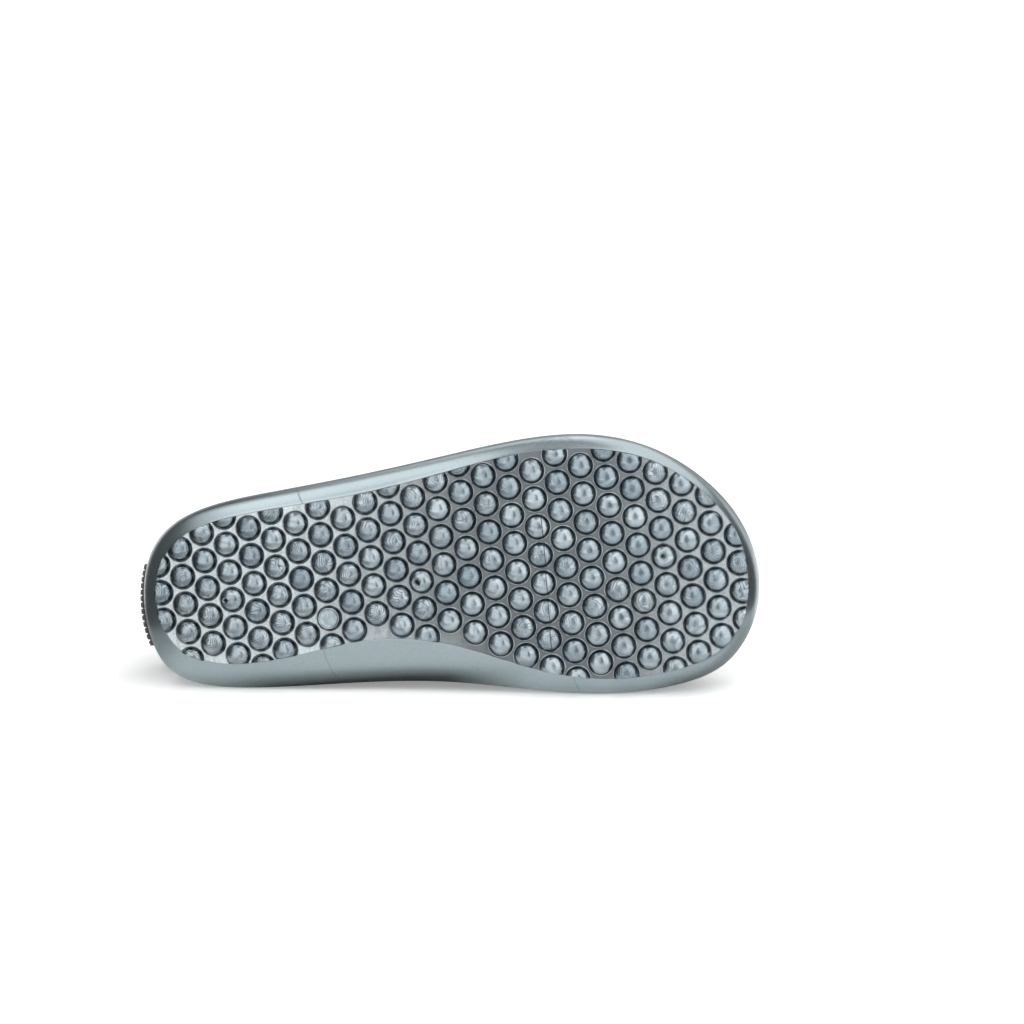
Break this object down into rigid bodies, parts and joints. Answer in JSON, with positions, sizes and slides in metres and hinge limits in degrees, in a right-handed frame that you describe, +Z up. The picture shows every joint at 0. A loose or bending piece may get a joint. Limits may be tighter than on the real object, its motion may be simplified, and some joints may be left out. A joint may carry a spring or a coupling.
{
  "type": "barefoot shoe",
  "caption": "Child's slip-on barefoot shoe lying on its inner side: hollow knitted upper in a moulded rubber cup sole covered with domed nubs, loose insole and a ribbed heel tab",
  "frame": {"origin": "centre of the box on the floor, under the shoe as it lies on its inner side", "axes": "+X from heel to toe along the edge it lies on, -Y the way the tread faces, +Z up towards the outer side of the foot"},
  "size_m": [0.1964, 0.0672, 0.078],
  "materials": {
    "sole_rubber": "pearly silver-grey satin rubber",
    "knit": "dark green ribbed knit",
    "lining": "grey textile footbed",
    "ribbing": "matt dark grey ribs"
  },
  "bodies": {
    "root": {"outsole": "sole_rubber", "upper": "knit", "insole": "lining", "heel_tab": "ribbing"}
  },
  "joints": []
}
